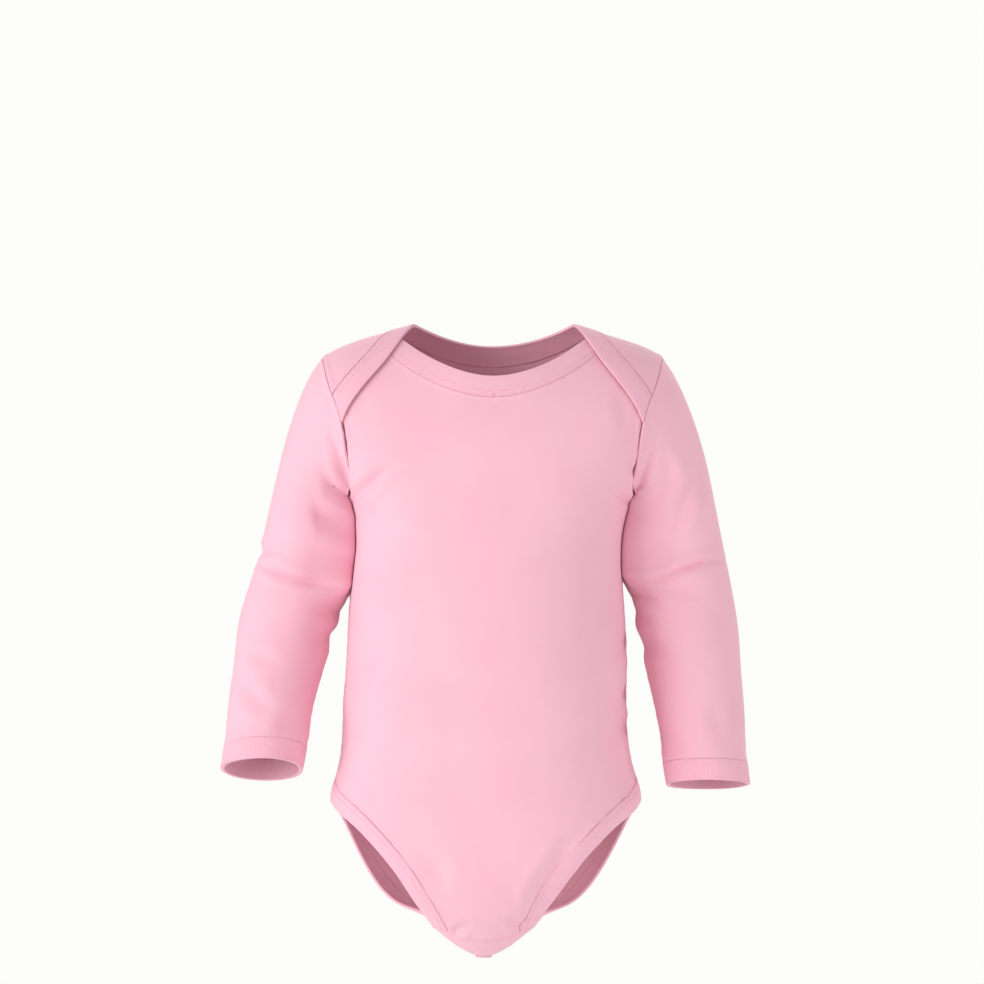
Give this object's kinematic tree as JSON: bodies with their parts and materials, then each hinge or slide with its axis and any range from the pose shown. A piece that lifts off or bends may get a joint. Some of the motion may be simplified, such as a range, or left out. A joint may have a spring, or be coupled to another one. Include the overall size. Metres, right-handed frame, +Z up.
{
  "type": "baby onesie",
  "caption": "Long-sleeved knit baby bodysuit in plain pink, with an envelope neck, bound leg openings and a snap-fastened crotch, hollow as worn.",
  "frame": {"origin": "at the middle of the neck opening, level with the two points where the neck meets the shoulders, where the wearer's shoulders hold the garment up", "axes": "+Z up the body to the neck, the front faces -Y, +X is to the right as seen from the front, which is the wearer's left; metres"},
  "size_m": [0.2826, 0.1476, 0.3428],
  "materials": {
    "jersey": "soft matte interlock knit",
    "rib": "soft matte rib knit",
    "snap": "satin"
  },
  "bodies": {
    "root": {"front": "jersey", "back": "jersey", "sleeve_left": "jersey", "sleeve_right": "jersey", "cuff_left": "rib", "cuff_right": "rib", "neck_band_front": "rib", "neck_band_back": "rib", "leg_band_left": "rib", "leg_band_right": "rib", "placket_front": "rib", "placket_back": "rib", "snap_cap_1": "snap", "snap_cap_2": "snap", "snap_cap_3": "snap", "snap_stud_1": "snap", "snap_stud_2": "snap", "snap_stud_3": "snap"}
  },
  "joints": []
}
